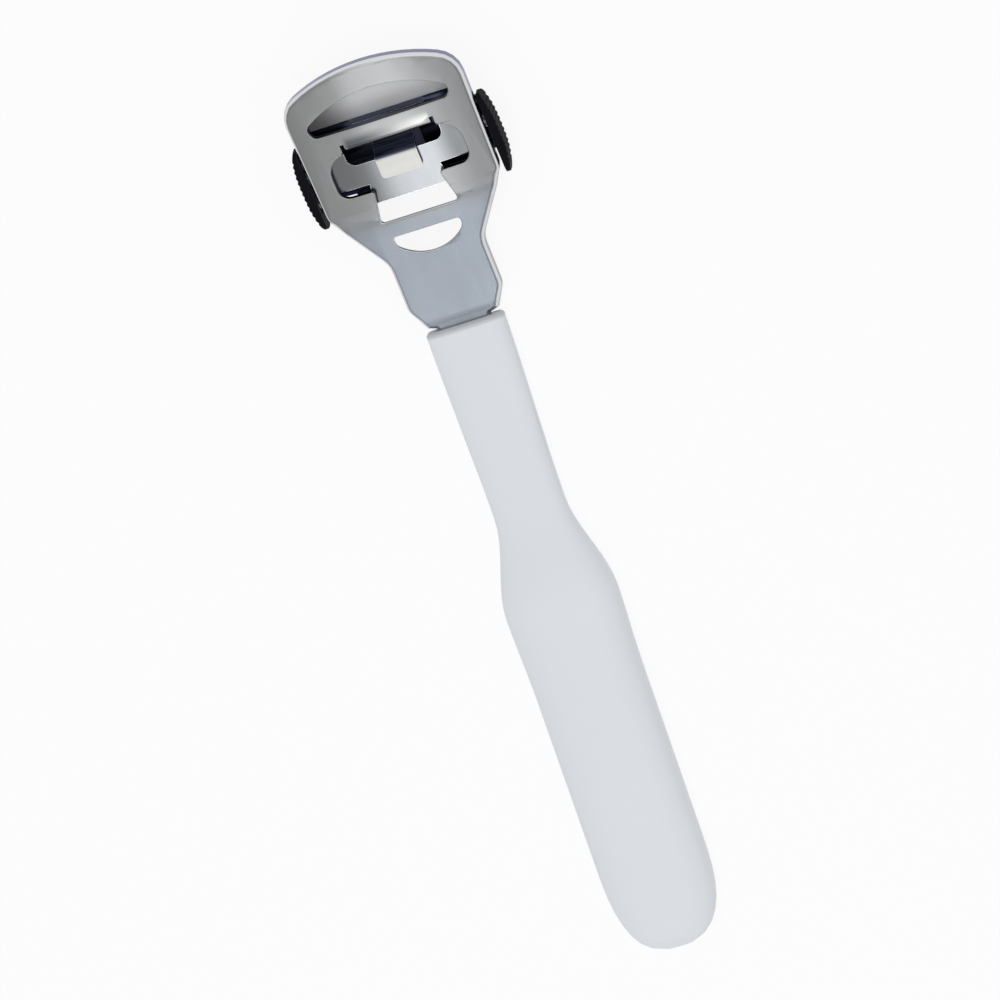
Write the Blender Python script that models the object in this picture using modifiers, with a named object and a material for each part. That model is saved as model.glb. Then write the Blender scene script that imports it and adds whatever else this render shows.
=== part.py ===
"""Callus remover: a sheet-metal head with a hinged, spring-closed clamp that
holds a small blade, on a flat moulded handle.

The tool lies on the back of its handle. X runs across it, +Y runs along it
towards the tip of the head, and +Z is up, out of the face that carries the
crescent slot. The origin is under the middle of the tool, on the surface
that it lies on. Every piece is first made on a head that lies level, where
places along the tool are distances from the tip; then the head is pitched up
towards its tip, round the crease. All lengths are in metres.
"""

import math

import bmesh
import bpy
from mathutils import Matrix, Vector

# Whole tool, its length measured along the sheet and the handle
laid_out_length = 0.1900
head_pitch = math.radians(15)
fit_gap = 0.0003
overrun = 0.0010
weld_distance = 0.000002
slice_snap = 0.00003
sliver_size = 0.0000002
arc_step = math.radians(15)

# Blade: the stock size that the head is built round
blade_length = 0.0310
blade_width = 0.0084
blade_thickness = 0.0002
blade_edge_bevel = 0.0007
blade_edge_flat = 0.00006
blade_edge_place = 0.00100
blade_side_room = 0.00295
blade_corner_cut_across = 0.0050
blade_corner_cut_along = 0.0022
blade_hole_radius = 0.0011
blade_hole_slot = 0.0008
blade_hole_flat_share = 0.05

# Crescent slot of the frame plate
head_half_width = blade_length / 2 + blade_side_room
slot_top = 0.0055
slot_blade_overlap = 0.0015
slot_depth = blade_width - slot_blade_overlap
slot_bottom = slot_top + slot_depth
slot_side_margin = 0.0040
slot_half_width = head_half_width - slot_side_margin
slot_side_length = 0.0002
slot_end_radius = 0.0015

# Mushroom window of the frame plate
window_bridge = 0.0029
window_top = slot_bottom + window_bridge
window_side_margin = 0.00485
window_arm_half_width = head_half_width - window_side_margin
window_arm_step = 0.0040
window_throat_half_width = window_arm_half_width - window_arm_step
window_throat_length = 0.0019
window_shoulder = window_top + window_throat_length
window_arm_top_radius = 0.0042
window_arm_length = 0.0092
window_arm_bottom = window_shoulder + window_arm_length
window_arm_bottom_radius = 0.0022
window_stem_half_width = 0.00665
window_stem_foot_half_width = 0.00815
window_stem_length = 0.0068
window_bottom = window_arm_bottom + window_stem_length
window_corner_radius = 0.0007
window_edge_radius = 0.00025

# Curled lip along the top of the window
lip_side_relief = 0.0006
lip_half_width = window_throat_half_width - lip_side_relief
lip_relief_depth = 0.0003
lip_length = 0.0026
lip_curl_radius = 0.0012
lip_corner_radius = 0.0006

# Half-oval hole of the neck
hole_bridge = 0.0034
hole_top = window_bottom + hole_bridge
hole_depth = 0.0047
hole_bottom = hole_top + hole_depth
hole_half_width = 0.0070
hole_side_length = 0.0001
hole_side_radius = 0.0020
hole_corner_radius = 0.0007

# Handle
handle_start_half_width = 0.00815
handle_waist_run = 0.0373
handle_waist_half_width = 0.0074
handle_waist_length = 0.0020
handle_shoulder_length = 0.0200
handle_shoulder_half_width = 0.01165
handle_settle_length = 0.0165
handle_half_width = 0.0112
handle_neck_thickness = 0.0052
handle_thickness = 0.0086
handle_end_run = 0.0200
handle_end_power = 2.8
handle_tip_share = 0.02
handle_crown_power = 3.4
handle_foot_radius = 0.0017
handle_mouth_edge = 0.0005
handle_crown_steps = 16
handle_foot_steps = 4
handle_end_steps = 9
handle_shoulder_steps = 9
handle_neck_steps = 5

# Frame plate: the stamped head and neck
sheet = 0.0010
head_height = 0.0080
head_side_taper = 0.00035
tip_radius = 0.0350
tip_corner_radius = 0.0060
head_side_margin = 0.0034
head_side_end = window_arm_bottom + head_side_margin
skirt_depth = 0.0022
skirt_wall = 0.0010
rim_radius = 0.0009
dome_radius = 0.2200
flare_corner_radius = 0.0030
neck_half_width = 0.00985
neck_start_offset = 0.0005
neck_start = hole_bottom + neck_start_offset
neck_fillet_radius = 0.0050
neck_length = 0.0102
neck_taper_start = neck_start + neck_length
neck_taper_length = 0.0049
neck_end = neck_taper_start + neck_taper_length
neck_end_half_width = 0.0074
neck_end_radius = 0.0030
crease_offset = 0.0020
crease_place = head_side_end + crease_offset
crease_length = 0.0040
neck_foot_margin = 0.0014
neck_foot_place = neck_end - neck_foot_margin
neck_foot_height = (handle_neck_thickness + sheet) / 2
neck_foot_length = 0.0016
slice_spacing = 0.0042

# Tang inside the handle
tang_half_width = 0.0056
tang_length = 0.0300
tang_corner_radius = 0.0020
tang_shoulder_slant = 0.0005
tang_root_radius = 0.0004

# Pivot of the clamp
clamp_sheet = 0.0006
pivot_offset = 0.0039
pivot_place = window_shoulder + pivot_offset
lug_radius = 0.0026
lug_foot_gap = 0.0004
pivot_height = clamp_sheet + lug_foot_gap + lug_radius
lug_thickness = 0.0010
lug_bite = 0.00035
lug_outer_face = head_half_width - skirt_wall + lug_bite
rivet_shank_radius = 0.0012
rivet_head_radius = 0.0022
rivet_head_thickness = 0.0006
rivet_cap_thickness = 0.00022
rivet_edge = 0.00015

# Clamp plate: the sole with its blade bed, ears, hook and tail lip
bed_foot_offset = 0.0014
bed_foot = slot_bottom + bed_foot_offset
bed_inset = 0.00135
bed_top_gap = 0.00072
bed_rise = head_height - sheet - bed_top_gap - clamp_sheet
bed_angle = math.atan2(bed_rise, bed_foot - bed_inset)
bed_bend_length = 0.0012
mouth_rise = 0.0013
mouth_fall = 0.0006
mouth_half_width = 0.0078
mouth_end_radius = 0.0004
sole_front_run = 0.0046
sole_shoulder = pivot_place - sole_front_run
sole_rear_run = 0.0071
sole_end = pivot_place + sole_rear_run
sole_rear_slant = 0.0004
sole_corner_radius = 0.0010
sole_edge_step = 0.0001
ear_inner_face = head_half_width + fit_gap
ear_rise = 0.0018
ear_top = pivot_height + ear_rise
ear_corner_radius = 0.0016
ear_end_margin = 0.0004
tail_half_width = 0.0120
tail_length = 0.0012
tail_end = sole_end + tail_length
tail_lip_height = 0.00317
hook_half_width = 0.00425
hook_bend_offset = 0.0032
hook_bend = window_shoulder + hook_bend_offset
hook_rise_run = 0.0048
hook_foot = hook_bend - hook_rise_run
hook_tab_length = 0.0042
hook_end = hook_bend + hook_tab_length
hook_corner_radius = 0.0008
hook_bend_radius = 0.0008
hook_window_margin = 0.0004
hook_window_length = 0.0100

# Spring plate: the leaf behind the window
leaf_thickness = 0.0005
leaf_overlap = 0.0024
leaf_top = window_top - leaf_overlap
leaf_side_margin = 0.00365
leaf_half_width = head_half_width - leaf_side_margin
leaf_corner_radius = 0.0020
leaf_step_gap = 0.0012
leaf_shoulder_end = window_arm_bottom - leaf_step_gap
leaf_tongue_half_width = 0.0073
leaf_tongue_end_half_width = 0.0084
leaf_tip_radius = 0.0004
leaf_lip_inset = 0.0003
throat_overlap = 0.0005
throat_top = window_top - throat_overlap
throat_hook_room = 0.0002
throat_bottom = hook_bend + throat_hook_room
throat_half_width = window_throat_half_width + fit_gap
throat_top_radius = 0.0008
throat_bottom_radius = 0.0018

# Two pins that locate the blade
pin_end_margin = 0.0045
pin_place_across = blade_length / 2 - pin_end_margin
pin_rear_margin = 0.0024
pin_place_up = blade_width - pin_rear_margin
pin_radius = 0.00075
pin_head_radius = 0.0014
pin_head_thickness = 0.0004
pin_reach = 0.0006

# Grips on both ears of the clamp
grip_front_overhang = 0.0020
grip_start = sole_shoulder - grip_front_overhang
grip_rear_overhang = 0.0034
grip_end = sole_end + grip_rear_overhang
grip_end_thickness = 0.0007
grip_bulge_power = 3.0
grip_bottom = 0.0022
grip_top_cover = 0.0011
grip_top = ear_top + grip_top_cover
grip_rib_pitch = 0.0012
grip_rib_depth = 0.00020
grip_rib_margin = 0.0016
grip_wall = 0.00035
grip_recess = clamp_sheet + 2 * fit_gap + rivet_cap_thickness
grip_half_span = ear_inner_face + grip_recess + grip_rib_depth + grip_wall
grip_corner_radius = 0.0014
grip_rib_steps = 6

# Places along the handle
handle_start = neck_end + fit_gap
handle_waist_place = handle_start + handle_waist_run
handle_shoulder_start = handle_waist_place + handle_waist_length
handle_shoulder_end = handle_shoulder_start + handle_shoulder_length
handle_settle_end = handle_shoulder_end + handle_settle_length

# Shading and meshing angles
flat_angle = math.radians(0.006)
smooth_angle = math.radians(32)
sharp_angle = math.radians(60)

parts = None
cutters = None


def along(distance):
    """Y of a place given as a distance from the tip of the head."""
    return laid_out_length / 2 - distance


def ease(value, start, end):
    """Smooth rise from 0 at start to 1 at end."""
    share = min(max((value - start) / (end - start), 0.0), 1.0)
    return share * share * (3 - 2 * share)


def ramp(value, middle, length):
    """Integral of a smooth bend: 0 before it, and value - middle after it."""
    start = middle - length / 2
    if value <= start:
        return 0.0
    if value >= middle + length / 2:
        return value - middle
    return (value - start) ** 2 / (2 * length)


def spread(start, end, steps):
    """Even places from start to end, both included."""
    return [start + (end - start) * step / steps for step in range(steps + 1)]


# Scene, collections and materials

def clear_scene():
    for item in list(bpy.data.objects):
        bpy.data.objects.remove(item)
    for block in (bpy.data.meshes, bpy.data.curves, bpy.data.materials, bpy.data.collections):
        for item in list(block):
            block.remove(item)


def new_collection(name):
    collection = bpy.data.collections.new(name)
    bpy.context.scene.collection.children.link(collection)
    return collection


def new_material(name, colour, roughness, metallic):
    material = bpy.data.materials.new(name)
    material.use_nodes = True
    shader = material.node_tree.nodes["Principled BSDF"]
    shader.inputs["Base Color"].default_value = (*colour, 1.0)
    shader.inputs["Roughness"].default_value = roughness
    shader.inputs["Metallic"].default_value = metallic
    return material


# Outlines

def rounded(corners, closed=True):
    """Outline through corners (u, v, fillet radius), with round fillets."""
    outline = []
    count = len(corners)
    for index, (u, v, radius) in enumerate(corners):
        here = Vector((u, v))
        at_end = not closed and index in (0, count - 1)
        if radius <= 0 or at_end:
            outline.append(here)
            continue
        before = Vector(corners[index - 1][:2])
        after = Vector(corners[(index + 1) % count][:2])
        to_before = (before - here).normalized()
        to_after = (after - here).normalized()
        half_angle = to_before.angle(to_after) / 2
        reach = radius / math.tan(half_angle)
        centre = here + (to_before + to_after).normalized() * (radius / math.sin(half_angle))
        first = here + to_before * reach - centre
        last = here + to_after * reach - centre
        turn = math.atan2(first.cross(last), first.dot(last))
        steps = max(2, math.ceil(round(abs(turn) / arc_step, 3)))
        for step in range(steps + 1):
            angle = turn * step / steps
            spoke = Vector((
                first.x * math.cos(angle) - first.y * math.sin(angle),
                first.x * math.sin(angle) + first.y * math.cos(angle),
            ))
            outline.append(centre + spoke)
    return outline


def plan(corners, closed=True):
    """Plan outline from corners (x, distance from the tip, fillet radius)."""
    return rounded([(x, along(place), radius) for x, place, radius in corners], closed)


def symmetric_plan(half):
    """Symmetric plan outline from the corners of its right half."""
    left = [(-x, place, radius) for x, place, radius in reversed(half) if x > 0]
    return plan(half + left)


def side_view(corners, closed=True):
    """Outline seen from the side, from corners (distance, height, radius)."""
    return rounded([(along(place), z, radius) for place, z, radius in corners], closed)


def inset(outline, distance):
    """The outline moved inwards by a distance."""
    area = sum(a.cross(b) for a, b in zip(outline, outline[1:] + outline[:1]))
    side = math.copysign(distance, area)
    moved = []
    for index, here in enumerate(outline):
        before = (here - outline[index - 1]).normalized()
        after = (outline[(index + 1) % len(outline)] - here).normalized()
        normal = Vector((-before.y - after.y, before.x + after.x)).normalized()
        stretch = normal.dot(Vector((-before.y, before.x)))
        moved.append(here + normal * (side / stretch))
    return moved


def arch_radius(half_width, rise, corner_radius):
    """Radius of an arch that meets its round corners at the given rise."""
    corner_reach = half_width - corner_radius
    return (rise ** 2 + corner_reach ** 2 - corner_radius ** 2) / (2 * (rise - corner_radius))


def arched(half_width, radius, place, corner_radius, direction=1, steps=7):
    """Corners of an arched end, from its crown out to its side.

    The crown is at the place; the arch falls away in the direction.
    """
    corner_reach = half_width - corner_radius
    centre_rise = math.sqrt((radius - corner_radius) ** 2 - corner_reach ** 2)
    meet = math.asin(corner_reach / (radius - corner_radius))
    corners = []
    for turn in spread(0, meet, steps):
        drop = radius * (1 - math.cos(turn))
        corners.append((radius * math.sin(turn), place + direction * drop, 0))
    corner_place = place + direction * (radius - centre_rise)
    for turn in spread(meet, math.pi / 2, steps // 2 + 1)[1:]:
        x = corner_reach + corner_radius * math.sin(turn)
        corners.append((x, corner_place - direction * corner_radius * math.cos(turn), 0))
    return corners


def strip(path, thickness):
    """Outline of a bent strip of one thickness along a centre line."""
    left = []
    right = []
    for index, here in enumerate(path):
        before = (here - path[index - 1]).normalized() if index else None
        after = (path[index + 1] - here).normalized() if index + 1 < len(path) else None
        first = before or after
        last = after or before
        normal = Vector((-first.y - last.y, first.x + last.x)).normalized()
        stretch = normal.dot(Vector((-first.y, first.x)))
        offset = normal * (thickness / 2 / stretch)
        left.append(here + offset)
        right.append(here - offset)
    return left + right[::-1]


# Solids

def curve_to_mesh(curve_object, name):
    """Replace a filled curve by a closed mesh of the same shape and place."""
    bpy.context.scene.collection.objects.link(curve_object)
    bpy.context.view_layer.update()
    graph = bpy.context.evaluated_depsgraph_get()
    mesh = bpy.data.meshes.new_from_object(curve_object.evaluated_get(graph))
    matrix = curve_object.matrix_world.copy()
    data = curve_object.data
    bpy.data.objects.remove(curve_object)
    bpy.data.curves.remove(data)
    shape = bmesh.new()
    shape.from_mesh(mesh)
    bmesh.ops.remove_doubles(shape, verts=shape.verts, dist=weld_distance)
    bmesh.ops.dissolve_limit(
        shape, angle_limit=flat_angle, verts=shape.verts, edges=shape.edges,
    )
    shape.transform(matrix)
    bmesh.ops.recalc_face_normals(shape, faces=shape.faces)
    shape.to_mesh(mesh)
    shape.free()
    mesh.name = name
    return bpy.data.objects.new(name, mesh)


def flat_curve(name, outlines, thickness):
    curve = bpy.data.curves.new(name, "CURVE")
    curve.dimensions = "2D"
    curve.fill_mode = "BOTH"
    curve.extrude = thickness / 2
    for outline in outlines:
        spline = curve.splines.new("POLY")
        spline.points.add(len(outline) - 1)
        for point, (x, y) in zip(spline.points, outline):
            point.co = (x, y, 0.0, 1.0)
        spline.use_cyclic_u = True
    return bpy.data.objects.new(name, curve)


def slab(name, outlines, bottom, top):
    """Flat plate between two heights, from plan outlines; the later are holes."""
    item = flat_curve(name, outlines, top - bottom)
    item.location.z = (bottom + top) / 2
    return curve_to_mesh(item, name)


def side_slab(name, outlines, inner, outer):
    """Plate standing across X between two faces, from (y, z) outlines."""
    item = flat_curve(name, outlines, outer - inner)
    item.rotation_euler = (math.pi / 2, 0.0, math.pi / 2)
    item.location.x = (inner + outer) / 2
    return curve_to_mesh(item, name)


def turned(name, profile, matrix):
    """Round piece from a (radius, height) profile run down its outer side."""
    mesh = bpy.data.meshes.new(name)
    shape = bmesh.new()
    points = [shape.verts.new((radius, 0.0, height)) for radius, height in profile]
    for first, second in zip(points, points[1:]):
        shape.edges.new((first, second))
    shape.to_mesh(mesh)
    shape.free()
    item = bpy.data.objects.new(name, mesh)
    screw = item.modifiers.new("Turn", "SCREW")
    screw.steps = 24
    screw.render_steps = screw.steps
    screw.use_merge_vertices = True
    screw.merge_threshold = weld_distance
    item.matrix_world = matrix
    return item


def settle(item):
    """Keep the evaluated shape of a piece as its mesh, in the world frame."""
    bpy.context.view_layer.update()
    graph = bpy.context.evaluated_depsgraph_get()
    mesh = bpy.data.meshes.new_from_object(item.evaluated_get(graph))
    mesh.transform(item.matrix_world)
    item.modifiers.clear()
    item.data = mesh
    item.matrix_world = Matrix.Identity(4)
    mesh.name = item.name
    return item


def combine(item, tool, operation):
    """Boolean of a piece with a tool, which goes to the cutters' collection."""
    if tool.name not in cutters.objects:
        cutters.objects.link(tool)
    tool.hide_render = True
    tool.display_type = "WIRE"
    modifier = item.modifiers.new(tool.name, "BOOLEAN")
    modifier.object = tool
    modifier.operation = operation
    modifier.solver = "EXACT"


def cut(item, tool):
    combine(item, tool, "DIFFERENCE")


def fuse(item, tool):
    combine(item, tool, "UNION")


def weld(shape):
    """Close up the tiny edges that bevels and slices leave."""
    bmesh.ops.remove_doubles(shape, verts=shape.verts, dist=sliver_size)
    bmesh.ops.dissolve_degenerate(shape, dist=sliver_size, edges=shape.edges)


def round_front_edges(item, height, radius, segments):
    """Round the sharp edges that lie in the plane at a height."""
    shape = bmesh.new()
    shape.from_mesh(item.data)
    sharp = [
        edge for edge in shape.edges
        if all(abs(vertex.co.z - height) < weld_distance for vertex in edge.verts)
        and edge.calc_face_angle(0.0) > sharp_angle
    ]
    bmesh.ops.bevel(
        shape, geom=sharp, offset=radius, segments=segments,
        affect="EDGES", profile=0.5, clamp_overlap=False,
    )
    weld(shape)
    shape.to_mesh(item.data)
    shape.free()


def slice_up(item, across, lengthwise, half_width=None):
    """Add edge lines at given X and distances, so that the sheet can bend.

    With a half width, only faces within it are sliced.
    """
    shape = bmesh.new()
    shape.from_mesh(item.data)
    bmesh.ops.triangulate(shape, faces=shape.faces)
    cuts = [(Vector((x, 0.0, 0.0)), Vector((1.0, 0.0, 0.0))) for x in across]
    cuts += [(Vector((0.0, along(s), 0.0)), Vector((0.0, 1.0, 0.0))) for s in lengthwise]
    for point, normal in cuts:
        faces = [
            face for face in shape.faces
            if half_width is None or all(abs(v.co.x) <= half_width for v in face.verts)
        ]
        edges = list({edge for face in faces for edge in face.edges})
        corners = list({vertex for face in faces for vertex in face.verts})
        geometry = corners + edges + faces
        bmesh.ops.bisect_plane(
            shape, geom=geometry, dist=slice_snap, plane_co=point, plane_no=normal,
        )
    weld(shape)
    shape.to_mesh(item.data)
    shape.free()


def bend_lines(half_width):
    """Even lines across the width, an odd number of strips, none on the centre."""
    strips = 2 * round(half_width / slice_spacing - 0.5) + 1
    return spread(-half_width, half_width, strips)[1:-1]


def form(item, press):
    """Press a flat piece into shape: press(x, place, z) gives (place, z)."""
    for vertex in item.data.vertices:
        x, y, z = vertex.co
        place, height = press(x, laid_out_length / 2 - y, z)
        vertex.co.y = along(place)
        vertex.co.z = height
    item.data.update()


def finish(item, material):
    """Shade a piece smooth between its sharp edges and give it its material."""
    settle(item)
    item.data.materials.clear()
    item.data.materials.append(material)
    item.data.shade_smooth()
    item.data.set_sharp_from_angle(angle=smooth_angle)
    return item


def dome(x):
    """Drop of the crowned sheet at a distance from its centre line."""
    return -x * x / (2 * dome_radius)


def mirrored_frame(side):
    """Axes whose +Z points outwards along X on the given side."""
    turn = Matrix.Rotation(math.copysign(math.pi / 2, side), 4, "Y")
    place = Matrix.Translation((0.0, along(pivot_place), pivot_height))
    return place @ turn


def pivot_bore(name, radius):
    """Cutter along the pivot's axis, right through the head."""
    depth = 2 * (grip_half_span + overrun)
    bpy.ops.mesh.primitive_cylinder_add(vertices=32, radius=radius, depth=depth)
    bore = bpy.context.object
    bpy.context.collection.objects.unlink(bore)
    bore.name = name
    bore.matrix_world = mirrored_frame(1)
    return bore


# Frame plate

def frame_half_outline(foot):
    """Right half of the head and neck, closed by the given foot corners."""
    half = arched(head_half_width, tip_radius, 0.0, tip_corner_radius)
    half += [
        (head_half_width - head_side_taper, head_side_end, flare_corner_radius),
        (neck_half_width, neck_start, neck_fillet_radius),
        (neck_half_width, neck_taper_start, neck_end_radius),
    ]
    return half + foot


def lip_bend_place():
    return window_top + lip_relief_depth


def curl_lip(place, z):
    """Turn the tab at the top of the window down over its bend line."""
    run = place - lip_bend_place()
    turn = min(run / lip_curl_radius, math.pi / 2)
    beyond = max(run - lip_curl_radius * math.pi / 2, 0.0)
    reach = lip_curl_radius + z
    curled = lip_bend_place() + reach * math.sin(turn)
    return curled, reach * math.cos(turn) - lip_curl_radius - beyond


def press_frame(x, place, z):
    """Curl the lip, crown the sheet and set the neck down to the handle."""
    lip_end = lip_bend_place() + lip_length
    on_lip = lip_bend_place() < place < lip_end + fit_gap
    if on_lip and abs(x) < lip_half_width + fit_gap:
        place, z = curl_lip(place, z)
    slope = (head_height - neck_foot_height) / (neck_foot_place - crease_place)
    fall = ramp(place, crease_place, crease_length) - ramp(place, neck_foot_place, neck_foot_length)
    return place, z + head_height + dome(x) - slope * fall


def window_half_outline():
    lip_end = lip_bend_place() + lip_length
    return [
        (lip_half_width, lip_end, lip_corner_radius),
        (lip_half_width, window_top, 0.0),
        (window_throat_half_width, window_top, 0.0),
        (window_throat_half_width, window_shoulder, window_corner_radius),
        (window_arm_half_width, window_shoulder, window_arm_top_radius),
        (window_arm_half_width, window_arm_bottom, window_arm_bottom_radius),
        (window_stem_half_width, window_arm_bottom, window_corner_radius),
        (window_stem_foot_half_width, window_bottom, window_corner_radius),
    ]


def slot_half_outline():
    rise = slot_depth - slot_end_radius - slot_side_length
    radius = arch_radius(slot_half_width, rise, slot_end_radius)
    half = arched(slot_half_width, radius, slot_top, slot_end_radius)
    half.append((slot_half_width, slot_bottom, slot_end_radius))
    return half


def hole_half_outline():
    rise = hole_depth - hole_corner_radius - hole_side_length
    radius = arch_radius(hole_half_width, rise, hole_side_radius)
    half = arched(hole_half_width, radius, hole_bottom, hole_side_radius, direction=-1)
    half.append((hole_half_width, hole_top, hole_corner_radius))
    return half


def make_frame_plate(material):
    tang_end = neck_end + tang_length
    blank_foot = [
        (neck_end_half_width, neck_end - tang_shoulder_slant, 0.0),
        (tang_half_width, neck_end, tang_root_radius),
        (tang_half_width, tang_end, tang_corner_radius),
    ]
    item = slab("frame_plate", [symmetric_plan(frame_half_outline(blank_foot))], -skirt_depth, 0.0)
    parts.objects.link(item)
    round_front_edges(item, 0.0, rim_radius, 3)

    pocket_foot = [
        (neck_end_half_width, neck_end - tang_shoulder_slant, 0.0),
        (neck_end_half_width, tang_end + skirt_wall + overrun, 0.0),
    ]
    pocket_outline = inset(symmetric_plan(frame_half_outline(pocket_foot)), skirt_wall)
    cut(item, slab("frame_pocket_cutter", [pocket_outline], -skirt_depth - overrun, -sheet))
    openings = {
        "slot": slot_half_outline(),
        "window": window_half_outline(),
        "neck_hole": hole_half_outline(),
    }
    for name, half in openings.items():
        outline = symmetric_plan(half)
        cut(item, slab(name + "_cutter", [outline], -skirt_depth - overrun, overrun))
    settle(item)
    round_front_edges(item, 0.0, window_edge_radius, 2)
    bends = [(crease_place, crease_length), (neck_foot_place, neck_foot_length)]
    lengthwise = [
        place for middle, length in bends
        for place in spread(middle - length / 2, middle + length / 2, 4)
    ]
    lip_relief = (lip_half_width + window_throat_half_width) / 2
    slice_up(item, bend_lines(head_half_width) + [-lip_relief, lip_relief], lengthwise)
    curl_run = lip_curl_radius * math.pi / 2
    curl = spread(lip_bend_place(), lip_bend_place() + curl_run, 5)
    slice_up(item, [], curl, lip_relief + weld_distance)
    form(item, press_frame)

    lug_top = head_height + dome(lug_outer_face) - sheet / 2
    lug_outline = side_view([
        (pivot_place - lug_radius, lug_top, 0.0),
        (pivot_place + lug_radius, lug_top, 0.0),
        (pivot_place + lug_radius, pivot_height - lug_radius, lug_radius),
        (pivot_place - lug_radius, pivot_height - lug_radius, lug_radius),
    ])
    lug_inner_face = lug_outer_face - lug_thickness
    for side, name in ((-1, "left_lug"), (1, "right_lug")):
        inner, outer = sorted((side * lug_inner_face, side * lug_outer_face))
        fuse(item, side_slab(name, [lug_outline], inner, outer))
    cut(item, pivot_bore("lug_bore", rivet_shank_radius + fit_gap))
    return finish(item, material)


# Spring plate

def make_spring_plate(material):
    outline = symmetric_plan([
        (leaf_half_width, leaf_top, leaf_corner_radius),
        (leaf_half_width, leaf_shoulder_end, leaf_corner_radius),
        (leaf_tongue_half_width, leaf_shoulder_end, 0.0),
        (leaf_tongue_end_half_width, tail_end, leaf_tip_radius),
    ])
    throat = symmetric_plan([
        (throat_half_width, throat_top, throat_top_radius),
        (throat_half_width, throat_bottom, throat_bottom_radius),
    ])
    item = slab("spring_plate", [outline, throat], -leaf_thickness, 0.0)
    parts.objects.link(item)
    slice_up(item, bend_lines(leaf_half_width), [])
    front = head_height - sheet - fit_gap

    def press_leaf(x, place, z):
        return place, z + front + dome(x)

    form(item, press_leaf)
    lip_half = leaf_tongue_end_half_width - leaf_lip_inset
    lip_outline = symmetric_plan([
        (lip_half, tail_end - sole_edge_step - leaf_thickness, 0.0),
        (lip_half, tail_end - sole_edge_step, 0.0),
    ])
    lip_top = front - leaf_thickness / 2 + dome(lip_half)
    fuse(item, slab("leaf_lip", [lip_outline], tail_lip_height + fit_gap, lip_top))
    return finish(item, material)


# Clamp plate and the blade on its bed

def bed_frame():
    """Axes on the bed: the origin at its foot, +Y up along it, +Z out of it."""
    foot = Matrix.Translation((0.0, along(bed_foot), clamp_sheet))
    return foot @ Matrix.Rotation(bed_angle, 4, "X")


def pin_frames():
    place = blade_edge_place + pin_place_up
    return {
        "left_blade_pin": bed_frame() @ Matrix.Translation((-pin_place_across, place, 0.0)),
        "right_blade_pin": bed_frame() @ Matrix.Translation((pin_place_across, place, 0.0)),
    }


def make_hook():
    """Tongue that rises through the spring plate and turns over its edge."""
    tab_middle = head_height - sheet + clamp_sheet / 2
    path = side_view([
        (hook_foot, clamp_sheet / 2, 0.0),
        (hook_bend, tab_middle, hook_bend_radius),
        (hook_end + overrun, tab_middle, 0.0),
    ], closed=False)
    blank_half_width = hook_half_width + overrun
    item = side_slab("hook", [strip(path, clamp_sheet)], -blank_half_width, blank_half_width)
    outline = symmetric_plan([
        (hook_half_width, hook_foot - overrun, 0.0),
        (hook_half_width, hook_end, hook_corner_radius),
    ])
    combine(item, slab("hook_corners", [outline], 0.0, head_height), "INTERSECT")
    cutters.objects.link(item)
    return settle(item)


def make_clamp_plate(material):
    ear_outer_face = ear_inner_face + clamp_sheet
    half = arched(
        head_half_width - bed_inset, tip_radius - bed_inset, bed_inset,
        tip_corner_radius - bed_inset,
    )
    half += [
        (head_half_width - bed_inset, sole_shoulder, 0.0),
        (ear_outer_face - sole_edge_step, sole_shoulder, sole_corner_radius),
        (ear_outer_face - sole_edge_step, sole_end, sole_corner_radius),
        (tail_half_width, sole_end + sole_rear_slant, 0.0),
        (tail_half_width, tail_end, 0.0),
    ]
    mouth = symmetric_plan([
        (mouth_half_width, bed_foot - mouth_rise, mouth_end_radius),
        (mouth_half_width, bed_foot + mouth_fall, mouth_end_radius),
    ])
    hook_window_top = hook_foot + clamp_sheet
    hook_window_half_width = hook_half_width + hook_window_margin
    hook_window = symmetric_plan([
        (hook_window_half_width, hook_window_top, 0.0),
        (hook_window_half_width, hook_window_top + hook_window_length, hook_corner_radius),
    ])
    outlines = [symmetric_plan(half), mouth, hook_window]
    item = slab("clamp_plate", outlines, 0.0, clamp_sheet)
    parts.objects.link(item)
    bend = spread(bed_foot - bed_bend_length / 2, bed_foot + bed_bend_length / 2, 3)
    slice_up(item, [], bend)

    def press_bed(_x, place, z):
        return place, z + math.tan(bed_angle) * ramp(-place, -bed_foot, bed_bend_length)

    form(item, press_bed)

    ear_outline = side_view([
        (sole_shoulder + ear_end_margin, clamp_sheet / 2, 0.0),
        (sole_shoulder + ear_end_margin, ear_top, ear_corner_radius),
        (sole_end - ear_end_margin, ear_top, ear_corner_radius),
        (sole_end - ear_end_margin, clamp_sheet / 2, 0.0),
    ])
    for side, name in ((-1, "left_ear"), (1, "right_ear")):
        inner, outer = sorted((side * ear_inner_face, side * ear_outer_face))
        fuse(item, side_slab(name, [ear_outline], inner, outer))
    lip_end = tail_end - sole_edge_step
    lip_outline = symmetric_plan([
        (tail_half_width - sole_edge_step, lip_end - clamp_sheet, 0.0),
        (tail_half_width - sole_edge_step, lip_end, 0.0),
    ])
    fuse(item, slab("tail_lip", [lip_outline], clamp_sheet / 2, tail_lip_height))
    fuse(item, make_hook())
    cut(item, pivot_bore("ear_bore", rivet_shank_radius + fit_gap))
    for name, matrix in pin_frames().items():
        depth = 2 * clamp_sheet + 2 * overrun
        bpy.ops.mesh.primitive_cylinder_add(vertices=24, radius=pin_radius + fit_gap, depth=depth)
        hole = bpy.context.object
        bpy.context.collection.objects.unlink(hole)
        hole.name = name + "_hole"
        hole.matrix_world = matrix
        cut(item, hole)
    return finish(item, material)


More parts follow.
